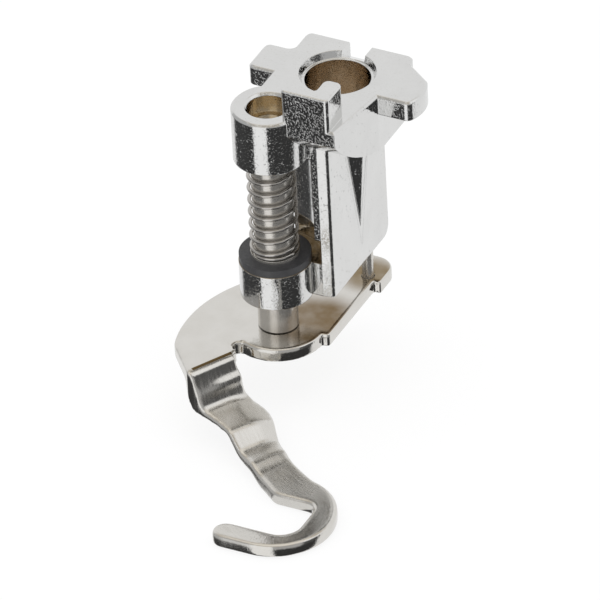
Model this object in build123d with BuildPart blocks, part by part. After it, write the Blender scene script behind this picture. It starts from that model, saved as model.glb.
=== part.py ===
"""Spring-loaded free-motion presser foot with a socket shank, as separate sub-parts in millimetres."""

import os
from math import cos, radians, sin

from build123d import *

os.makedirs("parts", exist_ok=True)

# Frame: Z is the socket axis and Z = 0 the top of the head flange; +X is the operator's right, -Y the front

# Head flange with its ears
flange_t = 2.1
ear_half_x = 8.65
ear_front_y = -2.25
ear_rear_y = 2.05
block_half_x = 5.75
block_rear_y = 5.35
flange_corner_r = 0.7
flange_left_x = -5.95
flange_edge_bevel = 0.22
ear_web_y = 4.2
ear_web_r = 0.35
ear_bulge = 0.6

# Rear key slot, its floor falling towards the rear
slot_w = 2.5
slot_depth_bore = 0.5
slot_depth_rear = 1.8

# Socket bore, with a bevelled mouth and a small seat below it
socket_r = 3.25
socket_depth = 5.4
socket_mouth_r = 3.8
socket_seat_r = 3.5
socket_seat_depth = 0.7

# Socket boss under the flange, and the corbel that carries the ledge on it
boss_depth = 6.4
boss_rear_y = 5.05
boss_corner_r = 1.2
corbel_mid = (-6.24, -4.77)
corbel_rear_y = -1.2

# Front ledge and the L-shaped post on it
ledge_front_y = -9.65
ledge_left_x = -1.6
ledge_right_x = 4.3
ledge_rear_x = 5.35
ledge_t = 1.65
post_left_x = -1.35
post_right_x = 3.75
post_wall = 1.3
post_h = 3.6
tongue_w = 1.88
tongue_rear_y = -6.2
tongue_tip_r = 0.65
post_edge_r = 0.4
post_top_r = 0.2

# Body plate
plate_x = -0.6
plate_t = 2.6
plate_front_y = -7.0
plate_rear_y = 5.3
plate_bottom_z = -21.65
plate_corner_r = 1.2
plate_bevel_x = 0.95
plate_bevel_depth = 0.27
plate_edge_r = 0.4

# Half-cone gusset on the body plate's right face
gusset_y = -0.45
gusset_r = 2.9
gusset_tip_z = -19.4

# Slide rod, its lugs, and the web between them with its grooves for the spring and the washer
rod_x = -3.8
rod_y = -7.65
rod_r = 2.0
rod_clear = 0.05
rod_top_z = -2.3
rod_end_bevel = 0.25
lug_r = 3.6
lug_mouth_r = 2.3
upper_lug_bottom_z = -5.8
lower_lug_top_z = -17.9
spring_groove_r = 4.1
washer_groove_r = 4.7
washer_groove_h = 2.7
web_rear_y = -2.4

# Washer, retaining ring and spring, stacked on the lower lug
washer_t = 0.8
washer_r = 3.55
washer_clear = 0.15
ring_t = 0.3
ring_r = 2.4
ring_seat_depth = 0.3
ring_clear = 0.02
spring_wire_r = 0.19
spring_clear = 0.07
spring_coils = 8
spring_wire_sides = 6

# Sole plate
sole_top_z = -25.6
sole_t = 1.45
sole_lobe_r = 4.7
sole_right_x = 1.65
sole_step_x = 2.35
sole_step_y = 2.3
sole_corner_y = -7.75
sole_rear_y = 6.4
sole_rear_left_x = -1.3
sole_rear_r = 2.0
sole_left_rear = (-10.3, -3.0)
sole_left_mid = (-12.45, -11.2)
sole_left_front = (-11.75, -14.7)
sole_corner_r = 3.0
sole_nick_r = 0.4
relief_run = -0.55
relief_gap = 0.89
relief_r = 0.62
rivet_r = 1.4

# Guide pin, in the middle of the body plate's thickness
pin_y = 3.0
pin_r = 0.6
pin_clear = 0.05
pin_top_z = -18.6
pin_spare = 0.95
travel = 3.8

# Arm: it leaves the sole across a bend line and falls in two steps to the hook
arm_at = (-6.9, -16.0)
arm_angle = -29.8
arm_half_w = 2.6
arm_left_w = 3.0
arm_root_w = 2.2
arm_root = 2.0
arm_first_step = ((0.5, 0.0), (1.65, -3.85))
arm_second_step = ((5.6, -4.4), (7.25, -5.85))
arm_crease = (11.0, -6.5)
arm_under = ((-1.0, -sole_t), (0.55, -4.55), (5.2, -5.0), (6.85, -6.65))
arm_top_bend_r = 1.0
arm_under_bend_r = 1.0
arm_left_edge = ((1.2, -2.75), (3.2, -2.3), (6.3, -2.1), (10.3, -2.25))
arm_right_edge = ((0.9, 2.4), (4.1, 3.05), (6.5, 2.45), (10.3, 1.78))

# Hook with its needle opening
hook_x = 5.35
hook_y = -27.8
hook_r = 6.0
needle_far_y = -25.4
needle_near_y = -31.3
needle_right_x = 8.75
needle_far_r = 1.3
needle_near_r = 2.2
hook_tip_x = 1.05
hook_tip_flat = 0.05
hook_root_x = 4.0
hook_root_r = 1.5
hook_join_angle = 78.0
sole_edge_r = 0.2

# Derived values
plate_right_x = plate_x + plate_t
plate_mid_x = plate_x + plate_t / 2
washer_top_z = lower_lug_top_z + washer_t
ring_top_z = washer_top_z + ring_t
spring_r = rod_r + spring_clear + spring_wire_r
spring_h = upper_lug_bottom_z - ring_top_z
sole_bottom_z = sole_top_z - sole_t
hook_top_z = sole_top_z + arm_crease[1]
arm_dir = (cos(radians(arm_angle)), sin(radians(arm_angle)))


def on_arm(run, side):
    """Plan point at a run along the arm and a distance to the left or right of its middle."""
    return (
        arm_at[0] + run * arm_dir[0] - side * arm_dir[1],
        arm_at[1] + run * arm_dir[1] + side * arm_dir[0],
    )


relief_at = on_arm(relief_run, arm_half_w + relief_gap)
hook_front_y = hook_y - hook_r
hook_tip_r = (needle_near_y - hook_front_y) / 2 - hook_tip_flat
hook_start = (
    hook_x + hook_r * cos(radians(hook_join_angle)),
    hook_y + hook_r * sin(radians(hook_join_angle)),
)
strip_run = hook_x + hook_r - arm_at[0] + arm_at[1] - hook_front_y


# Outline of the ears and the rear block, the right ear with a round end and a web to the block
with BuildSketch() as ears_plan:
    with Locations((0, block_rear_y / 2)):
        Rectangle(2 * block_half_x, block_rear_y)
    with Locations((0, (ear_front_y + ear_rear_y) / 2)):
        Rectangle(2 * ear_half_x, ear_rear_y - ear_front_y)
    with BuildLine():
        Polyline((0, 0), (ear_half_x, ear_rear_y), (block_half_x, ear_web_y), close=True)
    make_face()
    with BuildLine():
        ThreePointArc(
            (ear_half_x, ear_front_y),
            (ear_half_x + ear_bulge, (ear_front_y + ear_rear_y) / 2),
            (ear_half_x, ear_rear_y),
        )
        Line((ear_half_x, ear_rear_y), (ear_half_x, ear_front_y))
    make_face()
    fillet(ears_plan.vertices().sort_by_distance((block_half_x, ear_web_y))[1:], flange_corner_r)
    fillet(ears_plan.vertices().sort_by_distance((block_half_x, ear_web_y))[0], ear_web_r)

# Corbel under the ledge, its right side in line with the ledge's
with BuildPart() as corbel:
    with BuildSketch(Plane.YZ.offset(-ledge_rear_x)):
        with BuildLine():
            ThreePointArc((ledge_front_y, -ledge_t), corbel_mid, (corbel_rear_y, -boss_depth))
            Polyline((corbel_rear_y, -boss_depth), (corbel_rear_y, -ledge_t), (ledge_front_y, -ledge_t))
        make_face()
    extrude(amount=2 * ledge_rear_x)
    with BuildSketch(Plane.XY.offset(-boss_depth)):
        with BuildLine():
            Polyline(
                (-ledge_rear_x, ledge_front_y),
                (ledge_right_x, ledge_front_y),
                (ledge_rear_x, ear_front_y),
                (ledge_rear_x, 0),
                (-ledge_rear_x, 0),
                close=True,
            )
        make_face()
    extrude(amount=boss_depth, mode=Mode.INTERSECT)

# Shank: flange, boss, ledge, post, plate, gusset and lugs in one casting
with BuildPart() as shank:
    with BuildSketch():
        add(ears_plan.sketch)
        with BuildLine():
            Polyline(
                (flange_left_x, 0),
                (flange_left_x, rod_y),
                (ledge_left_x, ledge_front_y),
                (ledge_right_x, ledge_front_y),
                (ledge_rear_x, ear_front_y),
                (ledge_rear_x, 0),
                close=True,
            )
        make_face()
        with Locations((rod_x, rod_y)):
            Circle(lug_r)
    extrude(amount=-ledge_t)
    chamfer(shank.edges().group_by(Axis.Z)[-1], flange_edge_bevel)
    with BuildSketch(Plane.XY.offset(-ledge_t)):
        add(ears_plan.sketch)
    extrude(amount=ledge_t - flange_t)
    with BuildSketch(Plane.XY.offset(-boss_depth)) as boss_plan:
        with Locations((0, corbel_rear_y)):
            Rectangle(2 * ledge_rear_x, boss_rear_y - corbel_rear_y, align=(Align.CENTER, Align.MIN))
        fillet(boss_plan.vertices().group_by(Axis.Y)[-1], boss_corner_r)
    extrude(amount=boss_depth - ledge_t)
    with BuildSketch(Plane.XY.offset(-ledge_t)) as post_plan:
        with Locations((post_left_x, ledge_front_y)):
            Rectangle(post_right_x - post_left_x, post_wall, align=Align.MIN)
        with Locations((post_right_x, ledge_front_y)):
            Rectangle(tongue_w, tongue_rear_y - ledge_front_y, align=(Align.MAX, Align.MIN))
        fillet(post_plan.vertices().group_by(Axis.Y)[:-1], post_edge_r)
        fillet(post_plan.vertices().group_by(Axis.Y)[-1], tongue_tip_r)
    extrude(amount=ledge_t + post_h)
    fillet(shank.edges().group_by(Axis.Z)[-1], post_top_r)
    with BuildSketch(Plane.YZ.offset(plate_x)) as plate_side:
        with BuildLine():
            Polyline(
                (plate_front_y, -ledge_t),
                (plate_front_y, plate_bottom_z),
                (plate_rear_y, plate_bottom_z),
                (plate_rear_y, -ledge_t),
                close=True,
            )
        make_face()
        fillet(plate_side.vertices().sort_by_distance((plate_rear_y, plate_bottom_z))[0], plate_corner_r)
    extrude(amount=plate_t)
    with BuildSketch(Plane.XY.offset(plate_bottom_z)):
        with BuildLine():
            Polyline(
                (plate_bevel_x, plate_front_y),
                (plate_right_x, plate_front_y),
                (plate_right_x, plate_front_y + plate_bevel_depth),
                close=True,
            )
        make_face()
    extrude(amount=-ledge_t - plate_bottom_z, mode=Mode.SUBTRACT)
    front_edge = (plate_right_x, plate_front_y + plate_bevel_depth, plate_bottom_z / 2)
    fillet(shank.edges().filter_by(Axis.Z).sort_by_distance(front_edge)[0], plate_edge_r)
    add(corbel.part)
    with Locations((plate_right_x, gusset_y, -boss_depth)):
        Cone(0, gusset_r, -boss_depth - gusset_tip_z, align=(Align.CENTER, Align.CENTER, Align.MAX))
    with BuildSketch(Plane.XY.offset(plate_bottom_z)):
        with Locations((rod_x, rod_y)):
            Circle(lug_r)
        with Locations((rod_x, plate_front_y)):
            Rectangle(plate_mid_x - rod_x, web_rear_y - plate_front_y, align=Align.MIN)
    extrude(amount=-ledge_t - plate_bottom_z)
    with BuildSketch(Plane.XY.offset(lower_lug_top_z)):
        with Locations((rod_x, rod_y)):
            Circle(spring_groove_r)
    extrude(amount=upper_lug_bottom_z - lower_lug_top_z, mode=Mode.SUBTRACT)
    with BuildSketch(Plane.XY.offset(lower_lug_top_z)):
        with Locations((rod_x, rod_y)):
            Circle(washer_groove_r)
    extrude(amount=washer_groove_h, mode=Mode.SUBTRACT)
    with BuildSketch(Plane.XY.offset(-socket_depth)):
        Circle(socket_r)
    extrude(amount=socket_depth, mode=Mode.SUBTRACT)
    Cone(
        socket_seat_r,
        socket_mouth_r,
        socket_seat_depth,
        align=(Align.CENTER, Align.CENTER, Align.MAX),
        mode=Mode.SUBTRACT,
    )
    with BuildSketch(Plane.YZ.offset(-slot_w / 2)):
        with BuildLine():
            Polyline(
                (0, 0),
                (0, -slot_depth_bore),
                (socket_r, -slot_depth_bore),
                (block_rear_y, -slot_depth_rear),
                (block_rear_y, 0),
                close=True,
            )
        make_face()
    extrude(amount=slot_w, mode=Mode.SUBTRACT)
    with BuildSketch(Plane.XY.offset(plate_bottom_z)):
        with Locations((rod_x, rod_y)):
            Circle(rod_r + rod_clear)
    extrude(amount=-plate_bottom_z, mode=Mode.SUBTRACT)
    with Locations((rod_x, rod_y, 0)):
        Cone(
            rod_r + rod_clear,
            lug_mouth_r,
            lug_mouth_r - rod_r - rod_clear,
            align=(Align.CENTER, Align.CENTER, Align.MAX),
            mode=Mode.SUBTRACT,
        )
    with BuildSketch(Plane.XY.offset(plate_bottom_z)):
        with Locations((plate_mid_x, pin_y)):
            Circle(pin_r + pin_clear)
    extrude(amount=pin_top_z + travel + pin_spare - plate_bottom_z, mode=Mode.SUBTRACT)
shank.part.label = "shank"
export_step(shank.part, "parts/shank.step")

# Slide rod, with the groove for its ring and a riveted end in the sole
with BuildPart() as slide_rod:
    with BuildSketch(Plane.XZ.offset(-rod_y)):
        with Locations((rod_x, sole_top_z)):
            Rectangle(rod_r, rod_top_z - sole_top_z, align=Align.MIN)
        with Locations((rod_x, sole_bottom_z)):
            Rectangle(rivet_r, sole_t, align=Align.MIN)
        with Locations((rod_x + rod_r, washer_top_z)):
            Rectangle(ring_seat_depth, ring_t, align=(Align.MAX, Align.MIN), mode=Mode.SUBTRACT)
    revolve(axis=Axis((rod_x, rod_y, 0), (0, 0, 1)))
    chamfer(slide_rod.edges().group_by(Axis.Z)[-1], rod_end_bevel)
slide_rod.part.label = "slide_rod"
export_step(slide_rod.part, "parts/slide_rod.step")

# Retaining ring, seated in the rod's groove
with BuildPart() as retaining_ring:
    with BuildSketch(Plane.XY.offset(washer_top_z)):
        with Locations((rod_x, rod_y)):
            Circle(ring_r)
            Circle(rod_r - ring_seat_depth + ring_clear, mode=Mode.SUBTRACT)
    extrude(amount=ring_t)
retaining_ring.part.label = "retaining_ring"
export_step(retaining_ring.part, "parts/retaining_ring.step")

# Damper washer on the lower lug
with BuildPart() as damper_washer:
    with BuildSketch(Plane.XY.offset(lower_lug_top_z)):
        with Locations((rod_x, rod_y)):
            Circle(washer_r)
            Circle(rod_r + washer_clear, mode=Mode.SUBTRACT)
    extrude(amount=washer_t)
damper_washer.part.label = "damper_washer"
export_step(damper_washer.part, "parts/damper_washer.step")

# Coil spring between the retaining ring and the upper lug, its ends ground flat
with BuildPart() as coil_spring:
    with BuildLine(Plane((rod_x, rod_y, ring_top_z))) as coil_path:
        Helix(spring_h / spring_coils, spring_h, spring_r)
    with BuildSketch(Plane(coil_path.line @ 0, z_dir=coil_path.line % 0)):
        RegularPolygon(spring_wire_r, spring_wire_sides)
    sweep(is_frenet=True)
    with Locations((rod_x, rod_y, ring_top_z)):
        Cylinder(
            spring_r + 2 * spring_wire_r,
            spring_h,
            align=(Align.CENTER, Align.CENTER, Align.MIN),
            mode=Mode.INTERSECT,
        )
coil_spring.part.label = "coil_spring"
export_step(coil_spring.part, "parts/coil_spring.step")

# Arm and hook: the plan of the toe, cut out of the strip's bent side profile
arm_side = Plane(
    (arm_at[0], arm_at[1], sole_top_z),
    x_dir=(arm_dir[0], arm_dir[1], 0),
    z_dir=(arm_dir[1], -arm_dir[0], 0),
)
with BuildPart() as arm_blank:
    with BuildSketch(Plane.XY.offset(hook_top_z - sole_t)) as toe_plan:
        with BuildLine():
            Spline(
                on_arm(0, -arm_left_w),
                *[on_arm(*place) for place in arm_left_edge],
                (hook_root_x, needle_far_y),
            )
            Polyline(
                (hook_root_x, needle_far_y),
                (needle_right_x, needle_far_y),
                (needle_right_x, needle_near_y),
                (hook_tip_x, needle_near_y),
                (hook_tip_x, hook_front_y),
                (hook_x, hook_front_y),
            )
            ThreePointArc((hook_x, hook_front_y), (hook_x + hook_r, hook_y), hook_start)
            Spline(
                hook_start,
                *[on_arm(*place) for place in reversed(arm_right_edge)],
                on_arm(-arm_root, arm_half_w),
            )
            Polyline(
                on_arm(-arm_root, arm_half_w),
                on_arm(-arm_root, -arm_root_w),
                on_arm(0, -arm_left_w),
            )
        make_face()
        for corner, radius in (
            ((needle_right_x, needle_far_y), needle_far_r),
            ((needle_right_x, needle_near_y), needle_near_r),
            ((hook_tip_x, needle_near_y), hook_tip_r),
            ((hook_tip_x, hook_front_y), hook_tip_r),
            ((hook_root_x, needle_far_y), hook_root_r),
        ):
            fillet(toe_plan.vertices().sort_by_distance(corner)[0], radius)
    extrude(amount=sole_top_z - hook_top_z + sole_t)
    with BuildSketch(arm_side):
        with BuildLine():
            FilletPolyline(
                (-arm_root, 0),
                *arm_first_step,
                *arm_second_step,
                arm_crease,
                (strip_run, arm_crease[1]),
                radius=arm_top_bend_r,
            )
            Line((strip_run, arm_crease[1]), (strip_run, arm_crease[1] - sole_t))
            FilletPolyline(
                (strip_run, arm_crease[1] - sole_t),
                (arm_crease[0], arm_crease[1] - sole_t),
                *reversed(arm_under),
                (-arm_root, -sole_t),
                radius=arm_under_bend_r,
            )
            Line((-arm_root, -sole_t), (-arm_root, 0))
        make_face()
    extrude(amount=strip_run, both=True, mode=Mode.INTERSECT)

# Foot plate: sole, arm and hook in one stamping
with BuildPart() as foot_plate:
    with BuildSketch(Plane.XY.offset(sole_bottom_z)) as sole_plan:
        with BuildLine():
            Line(on_arm(0, -arm_left_w), on_arm(0, arm_half_w))
            Polyline(
                on_arm(0, arm_half_w),
                (relief_at[0], rod_y),
                (rod_x, sole_corner_y),
                (sole_right_x, sole_corner_y),
                (sole_right_x, sole_step_y),
                (sole_step_x, sole_step_y),
                (sole_step_x, sole_rear_y),
                (sole_rear_left_x, sole_rear_y),
                sole_left_rear,
            )
            ThreePointArc(sole_left_rear, sole_left_mid, sole_left_front)
            Line(sole_left_front, on_arm(0, -arm_left_w))
        make_face()
        fillet(sole_plan.vertices().group_by(Axis.Y)[-1], sole_rear_r)
        fillet(sole_plan.vertices().sort_by_distance(sole_left_front)[0], sole_corner_r)
        fillet(sole_plan.vertices().sort_by_distance((sole_right_x, sole_corner_y))[0], sole_nick_r)
        with Locations((rod_x, rod_y)):
            Circle(sole_lobe_r)
    extrude(amount=sole_t)
    chamfer(foot_plate.edges().group_by(Axis.Z)[-1], sole_edge_r)
    add(arm_blank.part)
    with BuildSketch(Plane.XY.offset(sole_bottom_z)):
        with Locations(relief_at):
            Circle(relief_r)
        with Locations((rod_x, rod_y)):
            Circle(rivet_r + ring_clear)
        with Locations((plate_mid_x, pin_y)):
            Circle(pin_r + ring_clear)
    extrude(amount=sole_t, mode=Mode.SUBTRACT)
foot_plate.part.label = "foot_plate"
export_step(foot_plate.part, "parts/foot_plate.step")

# Guide pin, fixed in the sole
with BuildPart() as guide_pin:
    with BuildSketch(Plane.XY.offset(sole_bottom_z)):
        with Locations((plate_mid_x, pin_y)):
            Circle(pin_r)
    extrude(amount=pin_top_z - sole_bottom_z)
guide_pin.part.label = "guide_pin"
export_step(guide_pin.part, "parts/guide_pin.step")
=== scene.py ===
"""A spring-loaded presser foot in nickel plate, ground steel, spring wire and rubber, on a white table."""

import logging
import math
from dataclasses import dataclass, field
from enum import Enum
from typing import Any

import bmesh
import bpy
from mathutils import Matrix, Vector


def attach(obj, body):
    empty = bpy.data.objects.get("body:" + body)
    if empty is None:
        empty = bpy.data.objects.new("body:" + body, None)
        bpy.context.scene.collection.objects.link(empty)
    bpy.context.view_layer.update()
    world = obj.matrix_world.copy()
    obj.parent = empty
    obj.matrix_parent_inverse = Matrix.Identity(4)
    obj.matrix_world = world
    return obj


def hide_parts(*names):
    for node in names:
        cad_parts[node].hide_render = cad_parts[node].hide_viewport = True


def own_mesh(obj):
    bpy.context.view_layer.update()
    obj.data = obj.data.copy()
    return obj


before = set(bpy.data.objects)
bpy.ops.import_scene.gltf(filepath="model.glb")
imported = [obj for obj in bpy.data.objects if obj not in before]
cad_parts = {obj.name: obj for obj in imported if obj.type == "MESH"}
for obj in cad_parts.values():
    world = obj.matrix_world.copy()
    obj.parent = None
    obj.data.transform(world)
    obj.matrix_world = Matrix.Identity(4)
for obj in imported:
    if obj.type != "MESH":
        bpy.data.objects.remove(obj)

LOG = logging.getLogger("presser_foot")
MM = 0.001
WHITE = (1.0, 1.0, 1.0, 1.0)

# X and Y of the slide rod's axis.
ROD_AXIS_MM = (-3.8, -7.65)
# X and Y from which places on the arm are measured, and the arm's direction from +X.
ARM_AT_MM = (-6.9, -16.0)
ARM_DEG = -29.8

# Values between which most of a noise lies, and the octaves of a cloud, a haze and a skin.
NOISE_SPAN = (0.3, 0.7)
CLOUD_DETAIL = 3.0
HAZE_DETAIL = 4.0
SKIN_DETAIL = 2.0
# How much finer a finish's haze is than the drift of its tones.
HAZE_FINENESS = 3.0
# A relief layer's size against the finish's relief, and the noise values where its lumps begin and are full.
SKIN_LAYER = (1.0, 0.5, 0.72)
PIT_LAYER = (1.6, 0.66, 0.74)
BEVEL_SAMPLES = 6


class Body(Enum):
    """The two bodies that slide on each other."""

    HEAD = "head"
    FOOT = "foot"


class Slot(Enum):
    """The record's material slots, which no piece in this script takes."""

    NICKEL = "nickel_plate"
    WIRE = "spring_wire"


def linear(code: str) -> tuple[float, float, float, float]:
    """Turn an sRGB hex code into linear RGBA.

    Args:
        code: Colour as #RRGGBB.

    Returns:
        Linear red, green, blue and an alpha of one.
    """
    parts = [int(code[i:i + 2], 16) / 255 for i in (1, 3, 5)]
    red, green, blue = (p / 12.92 if p <= 0.04045 else ((p + 0.055) / 1.055) ** 2.4 for p in parts)
    return red, green, blue, 1.0


def add_node(tree: bpy.types.NodeTree, kind: str, inputs: dict[Any, Any] | None = None,
             **settings: Any) -> bpy.types.Node:
    """Add a node, set its properties, and fill or link its inputs.

    Args:
        tree: Node tree that gets the node.
        kind: Blender's node type.
        inputs: Input name or index, and the value or the socket that feeds it.
        **settings: Properties of the node.

    Returns:
        The new node.
    """
    node = tree.nodes.new(kind)
    for name, value in settings.items():
        setattr(node, name, value)
    for key, value in (inputs or {}).items():
        if isinstance(value, bpy.types.NodeSocket):
            tree.links.new(value, node.inputs[key])
        else:
            node.inputs[key].default_value = value
    return node


def set_ramp(node: bpy.types.Node, stops: list[tuple[float, float]]) -> None:
    """Give a colour ramp its grey stops.

    Args:
        node: The ramp node.
        stops: Position and grey level of each stop, in order.
    """
    elements = node.color_ramp.elements
    while len(elements) < len(stops):
        elements.new(1.0)
    for element, (place, grey) in zip(elements, stops):
        element.position = place
        element.color = (grey, grey, grey, 1.0)


def blank_material(name: str) -> bpy.types.Material:
    """Make a material with an empty node tree.

    Args:
        name: The material's name.

    Returns:
        The new material.
    """
    made = bpy.data.materials.new(name)
    made.use_nodes = True
    made.node_tree.nodes.clear()
    return made


def add_object(name: str, data: bpy.types.ID) -> bpy.types.Object:
    """Add an object to the scene.

    Args:
        name: The object's name.
        data: Its mesh, light or camera.

    Returns:
        The new object.
    """
    made = bpy.data.objects.new(name, data)
    bpy.context.scene.collection.objects.link(made)
    return made


def direction(turn_deg: float, rise_deg: float) -> Vector:
    """Turn a heading and an elevation into a unit vector.

    Args:
        turn_deg: Degrees from the front, -Y, towards +X.
        rise_deg: Degrees above the level.

    Returns:
        The unit vector.
    """
    turn, rise = math.radians(turn_deg), math.radians(rise_deg)
    return Vector((math.sin(turn) * math.cos(rise), -math.cos(turn) * math.cos(rise), math.sin(rise)))


@dataclass(frozen=True)
class PaintedLightPatch:
    """A place around an upright axis where reflection and shade are painted into the surface as another tone.
    """

    axis_mm: tuple[float, float]
    radius_mm: float
    soft_mm: float
    heights_mm: tuple[float, float]
    tone: str
    patch_mm: float = 0.7
    # Share of the painted tone in the patch's weakest parts.
    weakest: float = 0.7

    def lay(self, tree: bpy.types.NodeTree, place: bpy.types.NodeSocket,
            tone: bpy.types.NodeSocket) -> bpy.types.NodeSocket:
        """Paint the patch of reflection and shade over a colour.

        Args:
            tree: The material's tree.
            place: Object coordinates.
            tone: The colour without the painted patch.

        Returns:
            The colour with the painted patch.
        """
        local = add_node(tree, "ShaderNodeVectorMath", {
            0: place, 1: (self.axis_mm[0] * MM, self.axis_mm[1] * MM, 0.0)}, operation="SUBTRACT").outputs[0]
        flat = add_node(tree, "ShaderNodeVectorMath", {0: local, 1: (1.0, 1.0, 0.0)},
                        operation="MULTIPLY").outputs[0]
        reach = add_node(tree, "ShaderNodeVectorMath", {0: flat}, operation="LENGTH").outputs["Value"]
        cloud = add_node(tree, "ShaderNodeTexNoise", {
            "Vector": place, "Scale": 1 / (self.patch_mm * MM), "Detail": CLOUD_DETAIL}).outputs["Fac"]
        patchy = add_node(tree, "ShaderNodeMapRange", {
            0: cloud, 1: NOISE_SPAN[0], 2: NOISE_SPAN[1], 3: self.weakest, 4: 1.0}).outputs[0]
        within = add_node(tree, "ShaderNodeMapRange", {
            0: reach, 1: self.radius_mm * MM, 2: (self.radius_mm - self.soft_mm) * MM, 4: patchy},
            interpolation_type="SMOOTHSTEP").outputs[0]
        height = add_node(tree, "ShaderNodeSeparateXYZ", {0: local}).outputs[2]
        low, high = self.heights_mm
        level = add_node(tree, "ShaderNodeMath", {
            0: height, 1: (low + high) / 2 * MM, 2: (high - low) / 2 * MM}, operation="COMPARE").outputs[0]
        both = add_node(tree, "ShaderNodeMath", {0: level, 1: within}, operation="MULTIPLY").outputs[0]
        return add_node(tree, "ShaderNodeMix", {0: both, 6: tone, 7: linear(self.tone)},
                        data_type="RGBA").outputs[2]


@dataclass(frozen=True)
class Finish:
    """A surface: two tones that drift into each other, a roughness that varies and a fine relief."""

    name: str
    tone: str
    second_tone: str
    metallic: float
    roughness: tuple[float, float]
    drift_mm: float
    relief_mm: float
    relief_depth_mm: float
    edge_mm: float
    painted_light: tuple[PaintedLightPatch, ...] = ()
    pits: float = 0.0

    def material(self) -> bpy.types.Material:
        """Build the material.

        Returns:
            A new material with its node tree.
        """
        made = blank_material(self.name)
        tree = made.node_tree
        place = add_node(tree, "ShaderNodeTexCoord").outputs["Object"]
        shader = add_node(tree, "ShaderNodeBsdfPrincipled", {
            "Metallic": self.metallic,
            "Base Color": self.colour(tree, place),
            "Roughness": self.gloss(tree, place),
            "Normal": self.relief(tree, place)})
        add_node(tree, "ShaderNodeOutputMaterial", {"Surface": shader.outputs[0]})
        return made

    def colour(self, tree: bpy.types.NodeTree, place: bpy.types.NodeSocket) -> bpy.types.NodeSocket:
        """Mix the two tones by a slow noise, and paint the patches of reflection and shade over them.

        Args:
            tree: The material's tree.
            place: Object coordinates.

        Returns:
            The colour socket.
        """
        cloud = add_node(tree, "ShaderNodeTexNoise", {
            "Vector": place, "Scale": 1 / (self.drift_mm * MM), "Detail": CLOUD_DETAIL})
        tone = add_node(tree, "ShaderNodeMix", {
            0: cloud.outputs["Fac"], 6: linear(self.tone), 7: linear(self.second_tone)},
            data_type="RGBA").outputs[2]
        # Painted reflection and shade in hollows and at contacts.
        for painted in self.painted_light:
            tone = painted.lay(tree, place, tone)
        return tone

    def gloss(self, tree: bpy.types.NodeTree, place: bpy.types.NodeSocket) -> bpy.types.NodeSocket:
        """Vary the roughness between its two values.

        Args:
            tree: The material's tree.
            place: Object coordinates.

        Returns:
            The roughness socket.
        """
        haze = add_node(tree, "ShaderNodeTexNoise", {
            "Vector": place, "Scale": HAZE_FINENESS / (self.drift_mm * MM), "Detail": HAZE_DETAIL})
        return add_node(tree, "ShaderNodeMapRange", {
            0: haze.outputs["Fac"], 1: NOISE_SPAN[0], 2: NOISE_SPAN[1],
            3: self.roughness[0], 4: self.roughness[1]}).outputs[0]

    def grain(self, tree: bpy.types.NodeTree, place: bpy.types.NodeSocket) -> bpy.types.NodeSocket:
        """Make the height field of the relief.

        Args:
            tree: The material's tree.
            place: Object coordinates.

        Returns:
            The height socket.
        """
        height: Any = 0.0
        for (size, begin, full), depth in ((SKIN_LAYER, 1.0), (PIT_LAYER, self.pits)):
            skin = add_node(tree, "ShaderNodeTexNoise", {
                "Vector": place, "Scale": 1 / (size * self.relief_mm * MM),
                "Detail": SKIN_DETAIL}).outputs["Fac"]
            lump = add_node(tree, "ShaderNodeMapRange", {0: skin, 1: begin, 2: full, 4: depth},
                            interpolation_type="SMOOTHSTEP").outputs[0]
            height = add_node(tree, "ShaderNodeMath", {0: lump, 1: height}, operation="ADD").outputs[0]
        return height

    def relief(self, tree: bpy.types.NodeTree, place: bpy.types.NodeSocket) -> bpy.types.NodeSocket:
        """Round the edges and add the relief.

        Args:
            tree: The material's tree.
            place: Object coordinates.

        Returns:
            The normal socket.
        """
        edge = add_node(tree, "ShaderNodeBevel", {"Radius": self.edge_mm * MM}, samples=BEVEL_SAMPLES)
        return add_node(tree, "ShaderNodeBump", {
            "Strength": 1.0, "Distance": self.relief_depth_mm * MM,
            "Height": self.grain(tree, place), "Normal": edge.outputs[0]}).outputs[0]


@dataclass(frozen=True)
class GroundFinish(Finish):
    """Steel that was ground round: its relief is stretched into rings around the rod."""

    stretch: tuple[float, float, float] = (0.25, 0.25, 4.0)

    def grain(self, tree: bpy.types.NodeTree, place: bpy.types.NodeSocket) -> bpy.types.NodeSocket:
        """Make the rings that the grinding wheel left.

        Args:
            tree: The material's tree.
            place: Object coordinates.

        Returns:
            The height socket.
        """
        rings = add_node(tree, "ShaderNodeMapping", {"Vector": place, "Scale": self.stretch})
        return super().grain(tree, rings.outputs[0])


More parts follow.
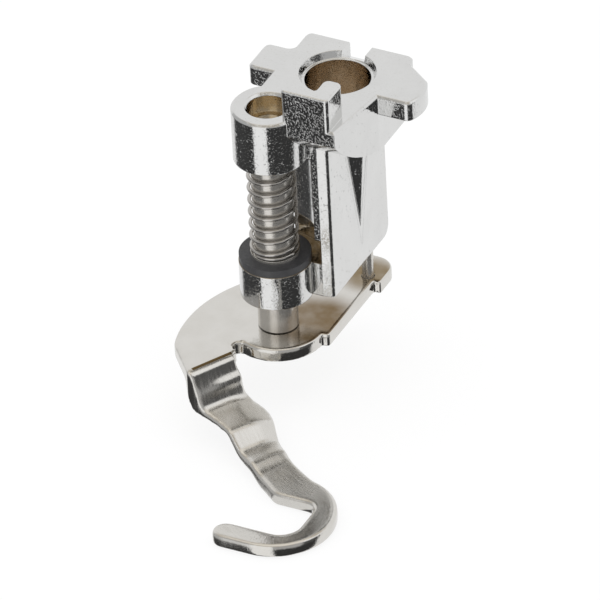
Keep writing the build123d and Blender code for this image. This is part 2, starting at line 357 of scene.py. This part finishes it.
@dataclass(frozen=True)
class StampedNickel(Finish):
    """Nickel on the stamping, with a brown line painted at the first bend for the score's fill and the shade
    in its groove, and an arm brushed lengthwise.
    """

    # Brownish fill of the score line, darkened for the painted shade in its groove.
    score_fill_and_shade_tone: str = "#6E5C3E"
    score_run_mm: float = -0.1
    score_mm: tuple[float, float] = (0.17, 2.3)
    brushed_in_mm: tuple[float, float] = (0.3, 1.0)
    brushed_out_mm: tuple[float, float] = (15.0, 21.0)
    brushed_side_mm: float = 3.8
    brushed: tuple[float, float] = (0.17, 0.3)
    streak_mm: tuple[float, float, float] = (2.5, 0.14, 2.5)
    streak_span: tuple[float, float] = (0.35, 0.65)

    def on_arm(self, tree: bpy.types.NodeTree, place: bpy.types.NodeSocket) -> bpy.types.NodeSocket:
        """Turn Object coordinates into places along and across the arm.

        Args:
            tree: The material's tree.
            place: Object coordinates.

        Returns:
            The arm's own coordinates.
        """
        return add_node(tree, "ShaderNodeMapping", {
            "Vector": place, "Location": (ARM_AT_MM[0] * MM, ARM_AT_MM[1] * MM, 0.0),
            "Rotation": (0.0, 0.0, math.radians(ARM_DEG))}, vector_type="TEXTURE").outputs[0]

    def colour(self, tree: bpy.types.NodeTree, place: bpy.types.NodeSocket) -> bpy.types.NodeSocket:
        """Paint the score line: its brownish fill and the shade in its unmodelled groove.

        Args:
            tree: The material's tree.
            place: Object coordinates.

        Returns:
            The colour socket.
        """
        tone = super().colour(tree, place)
        parts = add_node(tree, "ShaderNodeSeparateXYZ", {0: self.on_arm(tree, place)}).outputs
        run = add_node(tree, "ShaderNodeMath", {
            0: parts[0], 1: self.score_run_mm * MM, 2: self.score_mm[0] * MM}, operation="COMPARE").outputs[0]
        side = add_node(tree, "ShaderNodeMath", {0: parts[1], 1: 0.0, 2: self.score_mm[1] * MM},
                        operation="COMPARE").outputs[0]
        both = add_node(tree, "ShaderNodeMath", {0: run, 1: side}, operation="MULTIPLY").outputs[0]
        # Paint the score's fill and the groove's shade along the first bend.
        return add_node(tree, "ShaderNodeMix", {0: both, 6: tone, 7: linear(self.score_fill_and_shade_tone)},
                        data_type="RGBA").outputs[2]

    def gloss(self, tree: bpy.types.NodeTree, place: bpy.types.NodeSocket) -> bpy.types.NodeSocket:
        """Make the arm rougher, in streaks along it.

        Args:
            tree: The material's tree.
            place: Object coordinates.

        Returns:
            The roughness socket.
        """
        arm = self.on_arm(tree, place)
        streaks = add_node(tree, "ShaderNodeVectorMath", {
            0: arm, 1: tuple(1 / (size * MM) for size in self.streak_mm)}, operation="MULTIPLY").outputs[0]
        brush = add_node(tree, "ShaderNodeTexNoise", {
            "Vector": streaks, "Scale": 1.0, "Detail": CLOUD_DETAIL}).outputs["Fac"]
        rough = add_node(tree, "ShaderNodeMapRange", {
            0: brush, 1: self.streak_span[0], 2: self.streak_span[1],
            3: self.brushed[0], 4: self.brushed[1]}).outputs[0]
        run, side, _ = add_node(tree, "ShaderNodeSeparateXYZ", {0: arm}).outputs
        share = add_node(tree, "ShaderNodeMath", {0: side, 1: self.brushed_side_mm * MM},
                         operation="LESS_THAN")
        for begin, end in (self.brushed_in_mm, self.brushed_out_mm[::-1]):
            share = add_node(tree, "ShaderNodeMapRange", {
                0: run, 1: begin * MM, 2: end * MM, 4: share.outputs[0]}, interpolation_type="SMOOTHSTEP")
        return add_node(tree, "ShaderNodeMix", {
            0: share.outputs[0], 2: super().gloss(tree, place), 3: rough}).outputs[0]


# Bright nickel over a sand casting: specks from the casting's skin, and brown painted into the socket's bore,
# the rod's bore and the casting just above the washer, for the warm reflections and shade in these hollows.
CAST = Finish(
    name="bright_nickel_plate_on_casting", tone="#E4E4E3", second_tone="#DADAD9", metallic=1.0,
    roughness=(0.04, 0.09), drift_mm=2.5, relief_mm=0.2, relief_depth_mm=0.006, edge_mm=0.14,
    painted_light=(
        # Painted warm reflection and shade inside the socket's bore and inside the rod's bore in the upper
        # lug.
        PaintedLightPatch(axis_mm=(0.0, 0.0), radius_mm=3.62, soft_mm=0.05, heights_mm=(-5.5, -0.72), tone="#C8BAA7"),
        PaintedLightPatch(axis_mm=ROD_AXIS_MM, radius_mm=2.26, soft_mm=0.05, heights_mm=(-5.9, -0.3), tone="#CDB892"),
        # Painted reflection and shade on the casting just above the washer.
        PaintedLightPatch(axis_mm=ROD_AXIS_MM, radius_mm=4.8, soft_mm=0.05, heights_mm=(-17.95, -15.1), tone="#A08F72")),
    pits=3.0)
# Bright nickel over a stamped and tumbled strip: finer specks, and brown painted on the sole under the
# casting for the casting's reflection and the shade beneath it.
STAMPED = StampedNickel(
    name="bright_nickel_plate_tumbled", tone="#E2E0DC", second_tone="#D6D3CD", metallic=1.0,
    roughness=(0.07, 0.15), drift_mm=2.0, relief_mm=0.19, relief_depth_mm=0.0025, edge_mm=0.1,
    painted_light=(
        # Painted reflection of the casting's brown underside and painted shade, on the sole's top under the
        # head.
        PaintedLightPatch(axis_mm=(-0.4, -6.2), radius_mm=5.8, soft_mm=3.4, heights_mm=(-25.68, -25.5), tone="#78613E",
              patch_mm=2.5),
        PaintedLightPatch(axis_mm=(0.9, 3.0), radius_mm=3.8, soft_mm=2.4, heights_mm=(-25.68, -25.5), tone="#86724F",
              patch_mm=2.5)))
# Centreless-ground carbon steel, left bare, with a painted contact shadow where it stands on the sole.
STEEL = GroundFinish(
    name="carbon_steel_ground", tone="#DEDBD6", second_tone="#CBC7C0", metallic=0.83,
    roughness=(0.15, 0.26), drift_mm=1.5, relief_mm=0.12, relief_depth_mm=0.0015, edge_mm=0.08,
    painted_light=(
        # Painted contact shadow in a thin ring at the rod's foot.
        PaintedLightPatch(axis_mm=ROD_AXIS_MM, radius_mm=2.1, soft_mm=0.05, heights_mm=(-25.7, -25.48), tone="#2E2922"),))
# Music wire, cold drawn.
WIRE = Finish(
    name="music_wire_cold_drawn", tone="#D0CDC9", second_tone="#A8A49F", metallic=1.0,
    roughness=(0.07, 0.15), drift_mm=0.8, relief_mm=0.1, relief_depth_mm=0.0015, edge_mm=0.02)
# Nitrile rubber, moulded and matt.
RUBBER = Finish(
    name="nitrile_rubber_moulded", tone="#323234", second_tone="#48484A", metallic=0.0,
    roughness=(0.4, 0.6), drift_mm=0.8, relief_mm=0.12, relief_depth_mm=0.006, edge_mm=0.08)


def dress(node: str, finish: bpy.types.Material) -> None:
    """Give a CAD node its finish.

    Args:
        node: Name of the node.
        finish: The node's material.
    """
    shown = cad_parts[node]
    for place in shown.material_slots:
        place.material = finish
    LOG.info("%s: %s", node, finish.name)


def freeze(piece: bpy.types.Object) -> None:
    """Turn a piece's modifiers into plain mesh.

    Args:
        piece: Object whose modifiers are used up.
    """
    bpy.context.view_layer.update()
    state = bpy.context.evaluated_depsgraph_get()
    mesh = bpy.data.meshes.new_from_object(
        piece.evaluated_get(state), preserve_all_data_layers=True, depsgraph=state)
    piece.modifiers.clear()
    piece.data = mesh


def ease(value: float, start: float, end: float) -> float:
    """Go smoothly from zero at one value to one at another.

    Args:
        value: Where to read the curve.
        start: Value that gives zero.
        end: Value that gives one.

    Returns:
        The share between zero and one.
    """
    share = min(max((value - start) / (end - start), 0.0), 1.0)
    return share * share * (3 - 2 * share)


@dataclass
class Casting:
    """The head casting, its gusset drawn to a rib with a flat front side and a soft crest."""

    plate_x_mm: float = 2.0
    cone_y_mm: float = -0.45
    cone_r_mm: float = 2.9
    cone_z_mm: tuple[float, float] = (-19.4, -6.4)
    slack_mm: float = 0.02
    # Across the rib at the cone's top: front foot, crest and rear foot, and the crest's height.
    rib_y_mm: tuple[float, float, float] = (-2.9, -1.35, 2.4)
    rib_mm: float = 1.35
    rib_tip_mm: tuple[float, float] = (-0.6, -17.2)
    rib_top_mm: float = -5.7
    crest_mm: float = 0.3
    steps: int = 32

    def on_cone(self, point: Vector) -> bool:
        """Say if a point lies on the CAD gusset.

        Args:
            point: Point in metres.

        Returns:
            True on the half-cone's skin.
        """
        low, high = self.cone_z_mm
        radius = self.cone_r_mm * (point.z / MM - low) / (high - low)
        reach = math.hypot(point.x / MM - self.plate_x_mm, point.y / MM - self.cone_y_mm)
        return abs(reach - radius) < self.slack_mm and point.x / MM > self.plate_x_mm - self.slack_mm

    def section(self, along: float) -> float:
        """Give the rib's height over the plate at the cone's top.

        Args:
            along: Y in millimetres.

        Returns:
            Height in millimetres.
        """
        front, crest, rear = self.rib_y_mm
        rise = self.rib_mm * (along - front) / (crest - front)
        fall = self.rib_mm * (rear - along) / (rear - crest)
        return (rise + fall - math.hypot(rise - fall, self.crest_mm)) / 2

    def cap(self, skin: bmesh.types.BMesh, cone: list[bmesh.types.BMFace]) -> None:
        """Close the boss's underside where the gusset's upper end was.

        Args:
            skin: The casting's mesh in work.
            cone: Faces of the gusset, before they are taken out.
        """
        rim = {vertex.co.copy().freeze() for face in cone for vertex in face.verts
               if abs(vertex.co.z / MM - self.cone_z_mm[1]) < self.slack_mm}
        middle = Vector((self.plate_x_mm, self.cone_y_mm, self.cone_z_mm[1])) * MM
        order = sorted(rim, key=lambda spot: math.atan2(middle.y - spot.y, spot.x - middle.x))
        skin.faces.new([skin.verts.new(spot) for spot in order])

    def rib(self, skin: bmesh.types.BMesh) -> None:
        """Close the plate behind the gusset and raise the rib.

        Args:
            skin: The casting's mesh in work.
        """
        low, high = self.cone_z_mm
        corners = ((self.cone_y_mm - self.cone_r_mm, high), (self.cone_y_mm + self.cone_r_mm, high),
                   (self.cone_y_mm, low))
        skin.faces.new([skin.verts.new(Vector((self.plate_x_mm, y, z)) * MM) for y, z in corners])
        tip_y, tip_z = self.rib_tip_mm
        stretch = (self.rib_top_mm - tip_z) / (high - tip_z)
        top = []
        for step in range(self.steps + 1):
            along = self.rib_y_mm[0] + (self.rib_y_mm[2] - self.rib_y_mm[0]) * step / self.steps
            top.append(skin.verts.new(Vector((
                self.plate_x_mm + self.section(along) * stretch,
                tip_y + (along - tip_y) * stretch, self.rib_top_mm)) * MM))
        tip = skin.verts.new(Vector((self.plate_x_mm, tip_y, tip_z)) * MM)
        for first, second in zip(top, top[1:]):
            skin.faces.new((tip, second, first))

    def build(self, finish: bpy.types.Material) -> bpy.types.Object:
        """Copy the CAD casting and change its gusset.

        Args:
            finish: The piece's material.

        Returns:
            The finished casting.
        """
        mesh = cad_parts["shank"].data.copy()
        skin = bmesh.new()
        skin.from_mesh(mesh)
        cone = [face for face in skin.faces if all(self.on_cone(vertex.co) for vertex in face.verts)]
        self.cap(skin, cone)
        bmesh.ops.delete(skin, geom=cone, context="FACES")
        self.rib(skin)
        skin.to_mesh(mesh)
        skin.free()
        piece = add_object("nickel_casting", mesh)
        piece.data.materials.clear()
        piece.data.materials.append(finish)
        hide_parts("shank")
        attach(piece, Body.HEAD.value)
        LOG.info("%s: %d faces, %d of the cone taken out", piece.name, len(piece.data.polygons), len(cone))
        return piece


@dataclass(frozen=True)
class Swell:
    """A low swell across the arm: where it grows, its middle, half width, height and lean."""

    run_mm: tuple[float, float]
    side_mm: tuple[float, float]
    # Shares of the run along the arm and of the height that measure the way across the swell.
    across: tuple[float, float]
    middle_mm: float
    half_mm: float
    height_mm: float
    lean_deg: float

    def lift(self, run: float, side: float, level: float) -> float:
        """Give the swell's height at a place on the arm.

        Args:
            run: Way along the arm in millimetres.
            side: Distance to its right in millimetres.
            level: Height in millimetres.

        Returns:
            The lift in millimetres.
        """
        off = (run * self.across[0] + level * self.across[1] - self.middle_mm) / self.half_mm
        return self.height_mm * ease(run, *self.run_mm) * ease(side, *self.side_mm) * math.exp(-off * off)


@dataclass
class Stamping:
    """Sole, arm and hook with the press's soft edges and bends, and the arm's right side rolled down."""

    voxel_mm: float = 0.12
    merge_mm: float = 0.001
    wear: float = 0.5
    rounds: int = 8
    arm_rounds: int = 34
    arm_run_mm: tuple[float, float] = (0.0, 1.2)
    arm_side_mm: float = 3.8
    hook_run_mm: float = 9.0
    roll_side_mm: tuple[float, float] = (0.1, 2.7)
    roll_in_mm: tuple[float, float] = (0.7, 2.6)
    roll_out_mm: tuple[float, float] = (7.5, 10.5)
    roll_mm: float = 0.8
    roll_spread: float = 0.56
    # In the first step's face, and between the second step and the hook.
    swells: tuple[Swell, ...] = (
        Swell(run_mm=(0.0, 0.6), side_mm=(-3.2, 0.6), across=(0.0, 1.0), middle_mm=-27.85, half_mm=0.68,
              height_mm=0.4, lean_deg=30.0),
        Swell(run_mm=(6.0, 7.0), side_mm=(-3.0, -2.0), across=(1.0, 0.0), middle_mm=9.3, half_mm=0.8,
              height_mm=0.18, lean_deg=90.0))

    def on_arm(self, point: Vector) -> tuple[float, float]:
        """Find a point's place along and across the arm.

        Args:
            point: Point in metres.

        Returns:
            Run along the arm and distance to its right, in millimetres.
        """
        turn = math.radians(ARM_DEG)
        across, along = point.x / MM - ARM_AT_MM[0], point.y / MM - ARM_AT_MM[1]
        return (across * math.cos(turn) + along * math.sin(turn),
                along * math.cos(turn) - across * math.sin(turn))

    def press(self, mesh: bpy.types.Mesh) -> None:
        """Bend the arm's right side down and outwards.

        Args:
            mesh: The stamping's mesh.
        """
        turn = math.radians(ARM_DEG)
        way = Vector((-math.sin(turn) * self.roll_spread, math.cos(turn) * self.roll_spread, -1.0))
        for vertex in mesh.vertices:
            run, side = self.on_arm(vertex.co)
            if side > self.arm_side_mm:
                continue
            share = ease(run, *self.roll_in_mm) * (1 - ease(run, *self.roll_out_mm))
            reach = (side - self.roll_side_mm[0]) / (self.roll_side_mm[1] - self.roll_side_mm[0])
            fall = self.roll_mm * share * min(max(reach, 0.0), 1.0) ** 2
            vertex.co += way * fall * MM

    def swell(self, mesh: bpy.types.Mesh) -> None:
        """Raise the swells on the arm.

        Args:
            mesh: The stamping's mesh.
        """
        turn = math.radians(ARM_DEG)
        for swell in self.swells:
            lean = math.radians(swell.lean_deg)
            way = Vector((math.cos(turn) * math.cos(lean), math.sin(turn) * math.cos(lean), math.sin(lean)))
            for vertex in mesh.vertices:
                run, side = self.on_arm(vertex.co)
                if side < self.arm_side_mm:
                    vertex.co += way * swell.lift(run, side, vertex.co.z / MM) * MM

    def build(self, finish: bpy.types.Material) -> bpy.types.Object:
        """Copy the CAD stamping, press its arm into shape and wear its edges round.

        Args:
            finish: The piece's material.

        Returns:
            The finished stamping.
        """
        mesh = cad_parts["foot_plate"].data.copy()
        skin = bmesh.new()
        skin.from_mesh(mesh)
        bmesh.ops.remove_doubles(skin, verts=skin.verts, dist=self.merge_mm * MM)
        skin.to_mesh(mesh)
        skin.free()
        piece = add_object("tumbled_stamping", mesh)
        even = piece.modifiers.new("even", "REMESH")
        even.mode = "VOXEL"
        even.voxel_size = self.voxel_mm * MM
        even.use_smooth_shade = True
        freeze(piece)
        self.press(piece.data)
        arm = piece.vertex_groups.new(name="arm")
        for vertex in piece.data.vertices:
            run, side = self.on_arm(vertex.co)
            if side < self.arm_side_mm or run > self.hook_run_mm:
                arm.add([vertex.index], ease(run, *self.arm_run_mm), "REPLACE")
        for name, rounds, group in (("worn", self.rounds, ""), ("worn_arm", self.arm_rounds, arm.name)):
            worn = piece.modifiers.new(name, "SMOOTH")
            worn.factor = self.wear
            worn.iterations = rounds
            worn.vertex_group = group
        freeze(piece)
        self.swell(piece.data)
        piece.vertex_groups.clear()
        piece.data.materials.clear()
        piece.data.materials.append(finish)
        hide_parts("foot_plate")
        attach(piece, Body.FOOT.value)
        LOG.info("%s: %d faces", piece.name, len(piece.data.polygons))
        return piece


@dataclass
class CoilSpring:
    """The compression spring around the rod, with a closed coil at its lower end."""

    axis_mm: tuple[float, float] = ROD_AXIS_MM
    bottom_mm: float = -16.8
    top_mm: float = -5.8
    radius_mm: float = 2.26
    wire_radius_mm: float = 0.19
    pitch_mm: float = 1.39
    closed_turns: float = 1.0
    start_deg: float = -110.0
    turn_points: int = 40
    wire_sides: int = 14
    travel_mm: float = 3.8

    def inputs(self) -> dict[str, tuple[str, float]]:
        """List the node group's inputs.

        Returns:
            Socket type and value for each input name.
        """
        rise = self.top_mm - self.bottom_mm - 2 * self.wire_radius_mm
        closed = 2 * self.wire_radius_mm * self.closed_turns
        turns = self.closed_turns + (rise - closed) / self.pitch_mm
        return {
            "Points": ("NodeSocketInt", round(turns * self.turn_points) + 1),
            "Turns": ("NodeSocketFloat", turns),
            "Closed Turns": ("NodeSocketFloat", self.closed_turns),
            "Pitch": ("NodeSocketFloat", self.pitch_mm * MM),
            "Wire": ("NodeSocketFloat", 2 * self.wire_radius_mm * MM),
            "Radius": ("NodeSocketFloat", self.radius_mm * MM),
            "Bottom": ("NodeSocketFloat", (self.bottom_mm + self.wire_radius_mm) * MM),
            "Start": ("NodeSocketFloat", math.radians(self.start_deg)),
            "Sides": ("NodeSocketInt", self.wire_sides),
        }

    def tree(self, finish: bpy.types.Material) -> bpy.types.GeometryNodeTree:
        """Build the node group that winds the wire.

        Args:
            finish: The wire's material.

        Returns:
            The node group.
        """
        tree = bpy.data.node_groups.new("wind_spring", "GeometryNodeTree")
        tree.interface.new_socket("Geometry", in_out="OUTPUT", socket_type="NodeSocketGeometry")
        for name, (kind, _) in self.inputs().items():
            tree.interface.new_socket(name, in_out="INPUT", socket_type=kind)
        given = add_node(tree, "NodeGroupInput").outputs
        line = add_node(tree, "GeometryNodeMeshLine", {"Count": given["Points"]})
        index = add_node(tree, "GeometryNodeInputIndex").outputs[0]
        last = add_node(tree, "ShaderNodeMath", {0: given["Points"], 1: 1.0}, operation="SUBTRACT").outputs[0]
        share = add_node(tree, "ShaderNodeMath", {0: index, 1: last}, operation="DIVIDE").outputs[0]
        turn = add_node(tree, "ShaderNodeMath", {0: share, 1: given["Turns"]},
                        operation="MULTIPLY").outputs[0]
        angle = add_node(tree, "ShaderNodeMath", {0: turn, 1: math.tau, 2: given["Start"]},
                         operation="MULTIPLY_ADD").outputs[0]
        shut = add_node(tree, "ShaderNodeMath", {0: turn, 1: given["Closed Turns"]},
                        operation="MINIMUM").outputs[0]
        active = add_node(tree, "ShaderNodeMath", {0: turn, 1: shut}, operation="SUBTRACT").outputs[0]
        base = add_node(tree, "ShaderNodeMath", {0: shut, 1: given["Wire"], 2: given["Bottom"]},
                        operation="MULTIPLY_ADD").outputs[0]
        height = add_node(tree, "ShaderNodeMath", {0: active, 1: given["Pitch"], 2: base},
                          operation="MULTIPLY_ADD").outputs[0]
        cosine = add_node(tree, "ShaderNodeMath", {0: angle}, operation="COSINE").outputs[0]
        sine = add_node(tree, "ShaderNodeMath", {0: angle}, operation="SINE").outputs[0]
        across = add_node(tree, "ShaderNodeMath", {0: cosine, 1: given["Radius"], 2: self.axis_mm[0] * MM},
                          operation="MULTIPLY_ADD").outputs[0]
        along = add_node(tree, "ShaderNodeMath", {0: sine, 1: given["Radius"], 2: self.axis_mm[1] * MM},
                         operation="MULTIPLY_ADD").outputs[0]
        spot = add_node(tree, "ShaderNodeCombineXYZ", {0: across, 1: along, 2: height}).outputs[0]
        placed = add_node(tree, "GeometryNodeSetPosition", {"Geometry": line.outputs[0], "Position": spot})
        path = add_node(tree, "GeometryNodeMeshToCurve", {"Mesh": placed.outputs[0]})
        half = add_node(tree, "ShaderNodeMath", {0: given["Wire"], 1: 0.5}, operation="MULTIPLY").outputs[0]
        ring = add_node(tree, "GeometryNodeCurvePrimitiveCircle", {
            "Resolution": given["Sides"], "Radius": half})
        wire = add_node(tree, "GeometryNodeCurveToMesh", {
            "Curve": path.outputs[0], "Profile Curve": ring.outputs[0], "Fill Caps": True})
        soft = add_node(tree, "GeometryNodeSetShadeSmooth", {0: wire.outputs[0]})
        single = add_node(tree, "GeometryNodeRealizeInstances", {0: soft.outputs[0]})
        dressed = add_node(tree, "GeometryNodeSetMaterial", {
            "Geometry": single.outputs[0], "Material": finish})
        add_node(tree, "NodeGroupOutput", {0: dressed.outputs[0]})
        return tree

    def build(self, finish: bpy.types.Material) -> bpy.types.Object:
        """Wind the spring.

        Args:
            finish: The wire's material.

        Returns:
            The finished spring.
        """
        piece = add_object("wound_spring", bpy.data.meshes.new("wound_spring"))
        winding = piece.modifiers.new("winding", "NODES")
        winding.node_group = self.tree(finish)
        values = self.inputs()
        for item in winding.node_group.interface.items_tree:
            if item.in_out == "INPUT":
                winding[item.identifier] = values[item.name][1]
        freeze(piece)
        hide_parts("coil_spring")
        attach(piece, Body.HEAD.value)
        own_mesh(piece)
        LOG.info("%s: %d faces", piece.name, len(piece.data.polygons))
        return piece


@dataclass
class HeadAssembly:
    """What hangs on the presser bar: the casting, the washer and the spring."""

    casting: Casting = field(default_factory=Casting)
    washer: str = "damper_washer"
    spring: CoilSpring = field(default_factory=CoilSpring)

    def build(self, nickel: bpy.types.Material, wire: bpy.types.Material, rubber: bpy.types.Material) -> None:
        """Dress and build the head's pieces.

        Args:
            nickel: Finish of the casting.
            wire: Finish of the spring.
            rubber: Finish of the washer.
        """
        self.casting.build(nickel)
        dress(self.washer, rubber)
        self.spring.build(wire)


@dataclass
class FootAssembly:
    """What slides: the rod with its ring, the stamped foot and the guide pin."""

    stamping: Stamping = field(default_factory=Stamping)
    turned: tuple[str, ...] = ("slide_rod", "retaining_ring", "guide_pin")

    def build(self, nickel: bpy.types.Material, steel: bpy.types.Material) -> None:
        """Dress and build the foot's pieces.

        Args:
            nickel: Finish of the stamping.
            steel: Finish of the turned pieces.
        """
        self.stamping.build(nickel)
        for node in self.turned:
            dress(node, steel)


@dataclass
class Studio:
    """White table, soft light from above, and a room for the metal to mirror, with dark flags in front."""

    table_mm: float = 900.0
    table_top_mm: float = -33.55
    table_tone: str = "#787878"
    table_glow: float = 0.82
    lamp_mm: tuple[float, float, float] = (0.0, -10.0, 420.0)
    lamp_size_mm: float = 400.0
    lamp_watts: float = 0.2
    card_mm: tuple[float, float, float] = (4.6, -27.7, -33.54)
    card_radius_mm: float = 3.2
    card_sides: int = 48
    # Degrees from the front towards +X and the grey level seen there, low down and level with the foot.
    low_view: tuple[tuple[float, float], ...] = (
        (-180, 0.9), (-108, 0.86), (-98, 0.06), (-24, 0.04), (-21, 1.0), (18, 1.0), (22, 0.04), (103, 0.04),
        (110, 0.88), (180, 0.9))
    level_view: tuple[tuple[float, float], ...] = (
        (-180, 0.9), (-108, 0.86), (-96, 0.5), (-24, 0.45), (-21, 1.0), (18, 1.0), (22, 0.45), (68, 0.45),
        (76, 0.09), (103, 0.09), (110, 0.88), (180, 0.9))
    zenith: str = "#BDB6AA"
    # Sines of the elevations between which one view goes over into the next.
    low_to_level: tuple[float, float] = (-0.53, -0.33)
    level_to_zenith: tuple[float, float] = (0.64, 0.86)
    # Heading and elevation of a small lamp at the right, and the angles where its glow begins and is full.
    side_lamp_deg: tuple[float, float] = (100.0, 45.0)
    side_lamp_glow_deg: tuple[float, float] = (24.0, 12.0)

    def table(self) -> bpy.types.Object:
        """Lay the table under the hook.

        Returns:
            The table.
        """
        made = blank_material("table_white_laminate")
        tree = made.node_tree
        matt = add_node(tree, "ShaderNodeBsdfDiffuse", {"Color": linear(self.table_tone)})
        glow = add_node(tree, "ShaderNodeEmission", {"Strength": self.table_glow})
        both = add_node(tree, "ShaderNodeAddShader", {0: matt.outputs[0], 1: glow.outputs[0]})
        add_node(tree, "ShaderNodeOutputMaterial", {"Surface": both.outputs[0]})
        half, level = self.table_mm * MM / 2, self.table_top_mm * MM
        corners = [(-half, -half, level), (half, -half, level), (half, half, level), (-half, half, level)]
        mesh = bpy.data.meshes.new("table")
        mesh.from_pydata(corners, [], [(0, 1, 2, 3)])
        mesh.materials.append(made)
        board = add_object("table", mesh)
        board.visible_glossy = False
        return board

    def card(self) -> bpy.types.Object:
        """Lay the white card that only the walls of the needle opening mirror.

        Returns:
            The card.
        """
        made = blank_material("card_white_paper")
        tree = made.node_tree
        glow = add_node(tree, "ShaderNodeEmission", {"Strength": self.table_glow})
        add_node(tree, "ShaderNodeOutputMaterial", {"Surface": glow.outputs[0]})
        mesh = bpy.data.meshes.new("card")
        disc = bmesh.new()
        bmesh.ops.create_circle(
            disc, cap_ends=True, segments=self.card_sides, radius=self.card_radius_mm * MM,
            matrix=Matrix.Translation(Vector(self.card_mm) * MM))
        disc.to_mesh(mesh)
        disc.free()
        mesh.materials.append(made)
        sheet = add_object("card", mesh)
        sheet.visible_camera = sheet.visible_diffuse = sheet.visible_shadow = False
        return sheet

    def lamp(self) -> bpy.types.Object:
        """Hang the soft lamp above the foot.

        Returns:
            The lamp.
        """
        data = bpy.data.lights.new("overhead_softbox", "AREA")
        data.energy = self.lamp_watts
        data.size = self.lamp_size_mm * MM
        lamp = add_object("overhead_softbox", data)
        lamp.location = Vector(self.lamp_mm) * MM
        return lamp

    def surroundings(self) -> bpy.types.World:
        """Light the stage evenly, and show the metal a white room with grey and dark flags in front.

        Returns:
            The world.
        """
        world = bpy.data.worlds.new("white_studio")
        bpy.context.scene.world = world
        world.use_nodes = True
        tree = world.node_tree
        tree.nodes.clear()
        way = add_node(tree, "ShaderNodeTexCoord").outputs["Generated"]
        parts = add_node(tree, "ShaderNodeSeparateXYZ", {0: way}).outputs
        front = add_node(tree, "ShaderNodeMath", {0: parts[1], 1: -1.0}, operation="MULTIPLY").outputs[0]
        turn = add_node(tree, "ShaderNodeMath", {0: parts[0], 1: front}, operation="ARCTAN2").outputs[0]
        place = add_node(tree, "ShaderNodeMapRange", {0: turn, 1: -math.pi, 2: math.pi}).outputs[0]
        rings = [add_node(tree, "ShaderNodeValToRGB", {0: place}) for _ in range(2)]
        for ring, view in zip(rings, (self.low_view, self.level_view)):
            set_ramp(ring, [((angle + 180) / 360, grey) for angle, grey in view])
        room = rings[0].outputs[0]
        for (begin, full), above in ((self.low_to_level, rings[1].outputs[0]),
                                     (self.level_to_zenith, linear(self.zenith))):
            share = add_node(tree, "ShaderNodeMapRange", {0: parts[2], 1: begin, 2: full},
                             interpolation_type="SMOOTHSTEP").outputs[0]
            room = add_node(tree, "ShaderNodeMix", {0: share, 6: room, 7: above}, data_type="RGBA").outputs[2]
        near = add_node(tree, "ShaderNodeVectorMath", {0: way, 1: direction(*self.side_lamp_deg)},
                        operation="DOT_PRODUCT").outputs["Value"]
        begin, full = (math.cos(math.radians(angle)) for angle in self.side_lamp_glow_deg)
        glow = add_node(tree, "ShaderNodeMapRange", {0: near, 1: begin, 2: full},
                        interpolation_type="SMOOTHSTEP").outputs[0]
        room = add_node(tree, "ShaderNodeMix", {0: glow, 6: room, 7: WHITE}, data_type="RGBA").outputs[2]
        path = add_node(tree, "ShaderNodeLightPath").outputs
        seen = add_node(tree, "ShaderNodeMix", {
            0: path["Is Glossy Ray"], 6: WHITE, 7: room}, data_type="RGBA").outputs[2]
        light = add_node(tree, "ShaderNodeBackground", {"Color": seen, "Strength": 1.0})
        add_node(tree, "ShaderNodeOutputWorld", {"Surface": light.outputs[0]})
        return world

    def build(self) -> None:
        """Set the table, the card, the lamp and the surroundings."""
        self.table()
        self.card()
        self.lamp()
        self.surroundings()
        bpy.context.scene.view_settings.view_transform = "Standard"


@dataclass
class PhotoCamera:
    """The photograph's view: from the front right, above, a little rolled, through a long lens."""

    azimuth_deg: float = 27.7
    elevation_deg: float = 35.0
    roll_deg: float = -2.98
    aim_mm: tuple[float, float, float] = (2.15, -14.33, -17.0)
    distance_mm: float = 1500.0
    width_mm: float = 57.9
    sensor_mm: float = 36.0
    clip_m: tuple[float, float] = (0.01, 10.0)

    def build(self) -> bpy.types.Object:
        """Place the camera.

        Returns:
            The scene's camera.
        """
        back = direction(self.azimuth_deg, self.elevation_deg)
        data = bpy.data.cameras.new("photo_camera")
        data.sensor_width = self.sensor_mm
        data.lens = self.sensor_mm * self.distance_mm / self.width_mm
        data.clip_start, data.clip_end = self.clip_m
        camera = add_object("photo_camera", data)
        upright = (-back).to_track_quat("-Z", "Y").to_matrix().to_4x4()
        rolled = upright @ Matrix.Rotation(math.radians(self.roll_deg), 4, "Z")
        spot = (Vector(self.aim_mm) + back * self.distance_mm) * MM
        camera.matrix_world = Matrix.Translation(spot) @ rolled
        bpy.context.scene.camera = camera
        return camera


def main() -> None:
    """Build the foot and its stage."""
    logging.basicConfig(level=logging.INFO)
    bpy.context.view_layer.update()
    HeadAssembly().build(CAST.material(), WIRE.material(), RUBBER.material())
    FootAssembly().build(STAMPED.material(), STEEL.material())
    Studio().build()
    PhotoCamera().build()


if __name__ == "__main__":
    main()
